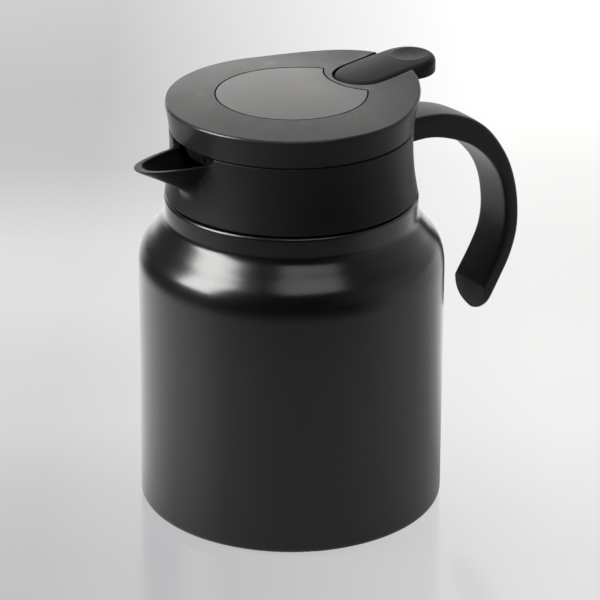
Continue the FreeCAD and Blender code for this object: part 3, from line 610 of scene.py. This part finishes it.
# Spout outlines by height: (z, x of the tip, half width at the root).
spout_outside = smooth_rows(np.array([
    (134.0, -43.8, 3.6), (137.0, -45.6, 5.4), (138.9, -47.6, 6.2), (140.6, -49.7, 6.6),
    (143.0, -53.4, 7.1), (146.4, -59.0, 8.2), (150.0, -65.5, 10.6), (151.6, -68.4, 11.7),
    (152.7, -70.2, 12.4), (153.7, -71.1, 12.8), (158.0, -71.3, 13.0)]))
spout_inside = smooth_rows(np.array([
    (139.5, -43.0, 0.4), (141.5, -46.0, 1.5), (143.0, -48.6, 3.0), (146.0, -54.4, 5.6),
    (150.0, -61.8, 9.0), (152.2, -65.6, 10.7), (154.2, -67.9, 11.7), (158.0, -68.2, 12.4)]))
# Rise of the spout's rim at its roots: (bearing, height gained).
RIM_CURL = [(13.2, 0.0), (14.6, 0.12), (15.8, 0.5), (16.6, 1.15), (17.2, 2.05), (17.6, 2.9),
            (17.9, 3.2)]
# Closed section, (radius, z): bottom edge, then the steps and slot below the inner wall.
COLLAR_FOOT = [(47.0, 130.5), (49.2, 130.5), (49.42, 130.62)]
COLLAR_STEPS = [(44.85, 141.2), (44.45, 141.0), (44.4, 136.0), (42.6, 136.0), (42.6, 131.5),
                (45.5, 131.5), (45.5, 137.4), (46.0, 137.8), (46.3, 137.4)]
# Two bores in the inner wall on the handle side: radius, x from and to, y, z.
COLLAR_BORES = [(2.35, 40.0, 46.2, side * 6.3, 147.4) for side in (-1, 1)]


def spout_radius(outline, root_x, z, bearing):
    """Distance from the axis to the spout's outline at height z; 0 beyond its sides."""
    tip_x, half_width = outline(z)
    x = root_x + (tip_x - root_x) * HALF_PLAN[:, 0]
    y = np.abs(HALF_PLAN[:, 1]) * half_width
    angles = np.degrees(np.arctan2(y, -x))
    if abs(bearing) > angles.max():
        return 0.0
    return float(np.interp(abs(bearing), angles, np.hypot(x, y), right=0.0))


def smooth_max(first, second, width):
    near = max(width - abs(first - second), 0.0) / width
    return max(first, second) + near * near * width * 0.25


def outer_radius(z, bearing):
    waist = float(np.interp(z, WAIST[:, 1], WAIST[:, 0]))
    if abs(bearing) >= 30:
        return waist
    # The spout flows into the wall most widely under its keel.
    blend = float(np.interp(z, [136.0, 141.0, 147.0], [5.5, 4.0, 3.0]))
    return smooth_max(waist, spout_radius(spout_outside, OUT_ROOT_X, z, bearing), blend)


def inner_radius(z, bearing):
    if abs(bearing) >= 30 or z <= 141.7:
        return BORE_R
    return smooth_max(BORE_R, spout_radius(spout_inside, IN_ROOT_X, z, bearing), 1.2)


def rim_z(bearing):
    """Top edge: spout rim in front, curling up to the lid seam at its roots."""
    off = abs(bearing)
    if off >= RIM_CURL[-1][0]:
        return SEAM_Z
    rise = float(np.interp(off, *zip(*RIM_CURL)))
    return min(153.5 + 0.3 * min(off / 12.0, 1.0) + rise, SEAM_Z)


def collar_ring(angle):
    bearing = angle if angle <= 180 else angle - 360
    top = rim_z(bearing)
    seat = 115.0 < angle < 245.0
    front = abs(bearing) < 20
    drop = 0.5 if front else 0.22  # height of the rounded top corners
    section = list(COLLAR_FOOT)
    for i in range(57):
        z = WALL_Z + (top - drop - WALL_Z) * i / 56
        section.append((outer_radius(z, bearing), z))
    outer = outer_radius(top, bearing)
    inner = SEAT_R if seat else inner_radius(top, bearing) if front else BORE_R
    inset = min(0.55, 0.35 * max(outer - inner, 0.6))
    section += corner(section[-1], (outer, top), (outer - inset, top), (0.25, 0.5, 0.75, 1.0))
    section.append(((outer + inner) / 2, top))
    below = inner_radius(top - drop, bearing) if front else inner
    section += corner((inner + inset, top), (inner, top), (below, top - drop),
                      (0.0, 0.25, 0.5, 0.75, 1.0))
    for i in range(1, 31):
        z = top - drop + (BORE_Z - top + drop) * i / 30
        section.append((SEAT_R if seat and z > SEAT_Z else inner_radius(z, bearing), z))
    section += COLLAR_STEPS
    turn = math.radians(angle)
    return [(-r * math.cos(turn), r * math.sin(turn), z) for r, z in section]


def collar():
    # Fine steps over the spout, and a close pair at each end of the seat.
    angles = list(np.arange(-23.0, 23.01, 0.35))
    angles += [23.0 + (114.8 - 23.0) * i / 56 for i in range(1, 57)]
    angles += [115.2 + (244.8 - 115.2) * i / 80 for i in range(81)]
    angles += [245.2 + (337.0 - 245.2) * i / 56 for i in range(56)]
    piece("collar_visual", [collar_ring(angle) for angle in angles], "collar",
          sharp=42.0, holes=COLLAR_BORES)


# ------------------------------------------------------------------ handle
HALF_WIDTH = 10.0
# Stations from the collar down: inner x, z (facing the body), outer x, z, and how far
# the outer side is then moved outwards.
STRAP = [
    (47.45, 142.13, 47.45, 151.75, 0.0), (52.0, 142.3, 52.5, 153.1, -1.2),
    (58.0, 142.4, 59.6, 152.9, -1.0), (63.4, 141.7, 66.2, 152.0, -0.7),
    (69.4, 140.0, 72.9, 150.1, -0.4), (75.2, 137.7, 79.6, 147.3, -0.2),
    (80.6, 134.9, 85.9, 143.6, -0.2), (86.0, 130.8, 91.9, 138.4, -0.3),
    (90.6, 126.1, 96.9, 132.0, -0.35), (94.2, 121.3, 100.7, 125.3, -0.2),
    (96.9, 116.0, 103.2, 118.5, 0.0), (98.7, 110.0, 104.8, 111.5, 0.25),
    (99.6, 104.0, 105.6, 104.6, 0.45), (99.8, 99.0, 105.8, 98.5, 0.5),
    (99.3, 94.0, 105.4, 92.5, 0.45), (98.0, 89.0, 104.1, 86.6, 0.3),
    (96.0, 84.2, 102.1, 80.9, 0.15), (93.3, 79.0, 99.3, 75.4, 0.0),
    (90.2, 73.6, 96.0, 69.8, 0.0), (88.3, 70.2, 94.0, 66.5, 0.0)]
# The lower end narrows to a half-ellipse: tip, direction up from it, and length.
TIP, TIP_DIR, TIP_LENGTH = (89.6, 58.7), (0.479, 0.878), 7.8
TIP_STATIONS = (6.9, 5.6, 4.3, 3.1, 2.0, 1.1, 0.45, 0.12)  # distances from the tip
# Flat cut on the body side of the lower end: point, normal of the lost side, top limit.
END_CUT = ((88.6, 0, 71.6), Vector((-12.9, 0, -1.05)).normalized(), 82.0)


def handle_ring(xi, zi, xo, zo, half):
    """Rounded section from the inner point to the outer one; half is its half width."""
    thick = math.hypot(xo - xi, zo - zi)
    nx, nz = (xo - xi) / thick, (zo - zi) / thick
    from_tip = min(max((zo - 66.0) / 22.0, 0.0), 1.0)
    from_root = min(max((146.0 - zo) / 18.0, 0.0), 1.0)
    round_out = min(2.1, 0.48 * thick, 0.6 * half)
    round_in = min(0.7 + 1.7 * from_tip, 0.9 + 1.5 * from_root, 0.36 * thick, 0.3 * half)
    crown = min(0.3, 0.1 * thick) * min(1.0, half / HALF_WIDTH)
    top = thick - crown - round_out
    # One side, (y, depth): inner face, corner, flank, corner, crowned outer face.
    side = [((half - round_in) * k / 6, 0.0) for k in range(6)]
    side += [(half - round_in + round_in * math.cos(math.radians(turn)),
              round_in + round_in * math.sin(math.radians(turn))) for turn in range(-90, 1, 15)]
    side += [(half, round_in + (top - round_in) * k / 4) for k in range(1, 4)]
    side += [(half - round_out + round_out * math.cos(math.radians(turn)),
              top + round_out * math.sin(math.radians(turn))) for turn in range(0, 81, 10)]
    end_y, end_depth = side[-1]
    side += [(end_y * (1 - k / 7), thick - (thick - end_depth) * (1 - k / 7) ** 2)
             for k in range(1, 8)]
    outline = side + [(-y, depth) for y, depth in side[-2:0:-1]]
    return [(xi + nx * depth, y, zi + nz * depth) for y, depth in outline]


def handle():
    path = []
    for xi, zi, xo, zo, shift in STRAP:
        thick = math.hypot(xo - xi, zo - zi)
        path.append((xi, zi, xo + (xo - xi) / thick * shift, zo + (zo - zi) / thick * shift,
                     HALF_WIDTH))
    for left in TIP_STATIONS:
        xo, zo = TIP[0] + TIP_DIR[0] * left, TIP[1] + TIP_DIR[1] * left
        path.append((xo - 6.0, zo + 3.27, xo, zo,
                     HALF_WIDTH * math.sqrt(1 - ((TIP_LENGTH - left) / TIP_LENGTH) ** 2)))
    main = spline(path[:len(STRAP)], 6)
    end = spline(path[len(STRAP) - 1:], 5)
    rings = [handle_ring(*station) for station in np.vstack([main, end[1:]])]
    piece("handle_visual", rings, "handle_grip", sharp=40.0, wrap=False,
          cut=END_CUT)


shell()
collar()
handle()

# ------------------------------------------------------------------ studio
CAMERA_DROP = math.radians(23.42)
CAMERA_DISTANCE = 1.3334
CAMERA_AIM = Vector((0, 0, 0.085))
# Small turns of the camera about its own axes.
YAW, PITCH, ROLL = (math.radians(v) for v in (0.15292, -0.07398, -0.13481))
LIGHT_AIM = Vector((0, 0, 0.09))

# Brightness by azimuth: (degrees left of the camera's side, strength).
FLOOR_TONE = [
    (-180, 1.7), (-143, 1.6), (-123, 0.82), (-103, 0.50), (-81, 0.44), (-54, 0.36),
    (-29, 0.29), (0, 0.27), (16, 0.30), (39, 0.40), (64, 0.62), (83, 0.86), (99, 1.10),
    (119, 1.40), (136, 1.6), (157, 1.85), (180, 1.7)]
SKY_LOW = [
    (-180, 1.50), (-143, 1.40), (-123, 0.72), (-103, 0.42), (-81, 0.36), (-54, 0.17),
    (-29, 0.02), (0, 0.01), (36, 0.02), (64, 0.05), (83, 0.08), (119, 0.10), (136, 0.11),
    (147, 0.30), (157, 1.2), (180, 1.5)]
SKY_MID = [
    (-180, 2.55), (-160, 1.6), (-135, 0.55), (-110, 0.42), (-80, 0.38), (-50, 0.14),
    (-20, 0.02), (0, 0.02), (30, 0.03), (60, 0.08), (104, 0.10), (140, 0.13), (152, 1.2),
    (166, 2.7), (180, 2.55)]
# Weights of the sky's bands by elevation: (degrees, weight).
LOW_BAND = [(-2, 1.0), (7, 0.0)]
MID_BAND = [(-2, 0.0), (7, 1.0), (19, 1.0), (35, 0.68), (52, 0.24)]
TOP_BAND = [(58, 0.0), (74, 0.34)]
# Where the table's painted reflection fades dark beyond its front edge: by distance from the
# axis, and by azimuth.
EDGE_REACH = [(0.28, 0.0), (0.38, 0.96)]
EDGE_FRONT = [(-75, 0.0), (-45, 1.0), (130, 1.0), (152, 0.0)]
# Glow of the table on each side: (distance away from the camera, strength).
GLOW_LEFT = [(-0.063, 0.39), (0.0, 0.42), (0.06, 0.49), (0.12, 0.49), (0.19, 0.53),
             (0.26, 0.50), (0.36, 0.31), (0.46, 0.27), (0.60, 0.29)]
GLOW_RIGHT = [(-0.063, 0.63), (0.0, 0.70), (0.06, 0.74), (0.12, 0.72), (0.19, 0.69),
              (0.26, 0.68), (0.36, 0.71), (0.46, 0.78), (0.60, 0.74)]


def turned(first, second, angle):
    """Rotate a pair of perpendicular vectors in their plane."""
    cos, sin = math.cos(angle), math.sin(angle)
    return first * cos - second * sin, first * sin + second * cos


def camera():
    data = bpy.data.cameras.new("camera")
    obj = add_object("camera", data)
    forward = VIEW * math.cos(CAMERA_DROP) - UP * math.sin(CAMERA_DROP)
    right = RIGHT.copy()
    up = right.cross(forward)
    place = CAMERA_AIM - forward * CAMERA_DISTANCE
    right, forward = turned(right, forward, YAW)
    up, forward = turned(up, forward, PITCH)
    right, up = turned(right, up, ROLL)
    pose = Matrix((right, up, -forward)).transposed().to_4x4()
    pose.translation = place
    obj.matrix_world = pose
    data.sensor_width = 36.0
    data.lens = 201.56
    data.clip_start, data.clip_end = 0.05, 50.0
    bpy.context.scene.camera = obj


def area(name, azimuth, elevation, distance, width, height, power, color=(1, 1, 1)):
    """Area light aimed at the jug; azimuth in degrees left of the camera's side."""
    turn, lift = math.radians(azimuth), math.radians(elevation)
    level = -VIEW * math.cos(turn) - RIGHT * math.sin(turn)
    place = (level * math.cos(lift) + UP * math.sin(lift)) * distance
    light = bpy.data.lights.new(name, "AREA")
    light.shape = "RECTANGLE"
    light.size, light.size_y = width, height
    light.energy = power
    light.color = color
    light.spread = math.pi
    obj = add_object(name, light)
    obj.location = place
    obj.rotation_mode = "QUATERNION"
    obj.rotation_quaternion = (LIGHT_AIM - place).to_track_quat("-Z", "Y")


def floor_material():
    mat = MaterialGraph("studio_floor")
    pos = mat.coords()
    cloud = mat.noise(pos, scale=2.2, detail=2.0)
    fine = mat.noise(pos, scale=900.0, detail=2.0)
    # Painted light: the table's colour runs from dark at the left to pale at the right, more
    # steeply at the back, for how the light falls across it.
    across = mat.remap(mat.along(pos, RIGHT), span=(-0.20, 0.24))
    far = mat.remap(mat.along(pos, VIEW), span=(0.22, 0.36))
    near_tone = mat.mix(across, (0.405, 0.416, 0.432), (0.72, 0.722, 0.73))
    far_tone = mat.mix(across, (0.325, 0.333, 0.345), (0.86, 0.86, 0.858))
    base = mat.mix(far, near_tone, far_tone)
    base = mat.mix(mat.scaled(cloud, by=0.10), base, (0.56, 0.565, 0.58))
    real = mat.bsdf(base, mat.remap(fine, to=(0.15, 0.19)), IOR=1.38)
    # Painted reflection: for glossy rays the table glows by emission, bright to the left and
    # behind, dim in front, and dark beyond the table's front edge.
    tone = mat.curve(mat.azimuth(pos), FLOOR_TONE)
    azimuth = mat.azimuth(pos)
    reach = mat.curve(mat.vector_math("LENGTH", pos), EDGE_REACH)
    front = mat.curve(azimuth, EDGE_FRONT)
    fade = mat.math("SUBTRACT", 1.0, mat.math("MULTIPLY", reach, front))
    seen = mat.node("ShaderNodeEmission", {"Strength": mat.math("MULTIPLY", tone, fade)})
    indirect = mat.mix_shader(mat.scaled(mat.ray("Is Glossy Ray"), by=0.92),
                              real.outputs[0], seen.outputs[0])
    # Painted light: for camera rays the table glows by emission, evenly enough to leave it almost
    # no shadow, with a faint mirror of the body.
    depth = mat.along(pos, VIEW)
    side = mat.remap(mat.along(pos, RIGHT), span=(-0.10, 0.11))
    left = mat.curve(depth, GLOW_LEFT)
    right = mat.curve(depth, GLOW_RIGHT)
    # The right-hand share is made last, after the left one and its inverse.
    off_side = mat.math("SUBTRACT", 1.0, side)
    left_glow = mat.math("MULTIPLY", left, off_side)
    glow = mat.math("ADD", left_glow, mat.math("MULTIPLY", right, side))
    tint = mat.mix(side, (0.985, 0.995, 1.02), (1.0, 0.999, 0.995))
    lit = mat.node("ShaderNodeEmission", {"Color": tint, "Strength": glow})
    mirror = mat.bsdf((0.055, 0.056, 0.057), 0.16, IOR=1.22)
    both = mat.node("ShaderNodeAddShader", {0: mirror.outputs[0], 1: lit.outputs[0]})
    return mat.finish(mat.mix_shader(mat.ray("Is Camera Ray"), indirect, both.outputs[0]))


def floor():
    cells, half, z = 24, 6.0, -0.00002
    material = floor_material()
    bm = bmesh.new()
    marks = [half * (2 * i / cells - 1) for i in range(cells + 1)]
    grid = [[bm.verts.new((x, y, z)) for y in marks] for x in marks]
    for i in range(cells):
        for j in range(cells):
            bm.faces.new((grid[i][j], grid[i + 1][j], grid[i + 1][j + 1], grid[i][j + 1]))
    mesh = bpy.data.meshes.new("floor")
    bm.to_mesh(mesh)
    bm.free()
    mesh.materials.append(material)
    add_object("floor", mesh)


def world():
    """Sky in bands of elevation for lighting; plain grey where the camera sees it."""
    studio = bpy.data.worlds.new("studio")
    bpy.context.scene.world = studio
    studio.use_nodes = True
    sky = Graph(studio.node_tree)
    direction = sky.coords("Generated")
    azimuth = sky.azimuth(direction)
    elevation = sky.scaled(sky.math("ARCSINE", sky.along(direction, UP)), by=57.29578)
    low = sky.curve(azimuth, SKY_LOW)
    mid = sky.curve(azimuth, SKY_MID)
    mid_weight = sky.curve(elevation, MID_BAND)
    low_weight = sky.curve(elevation, LOW_BAND)
    top = sky.curve(elevation, TOP_BAND)
    sides = sky.math("ADD", sky.math("MULTIPLY", low, low_weight),
                     sky.math("MULTIPLY", mid, mid_weight))
    total = sky.math("ADD", sides, top)
    light = sky.node("ShaderNodeBackground", {"Color": (1.0, 0.985, 0.965), "Strength": total})
    backdrop = sky.node("ShaderNodeBackground", {"Color": (0.80, 0.80, 0.80)})
    surface = sky.mix_shader(sky.ray("Is Camera Ray"), light.outputs[0], backdrop.outputs[0])
    sky.node("ShaderNodeOutputWorld", {"Surface": surface})


camera()
floor()
world()
area("window_left", azimuth=74.5, elevation=34, distance=1.5, width=0.78, height=1.18,
     power=31.5, color=(1.0, 0.995, 0.98))
area("panel_front", azimuth=-20, elevation=58, distance=1.5, width=0.95, height=0.5, power=2.1)
view = bpy.context.scene.view_settings
view.view_transform = "Standard"
view.look = "None"
view.exposure = 0.0
view.gamma = 1.0
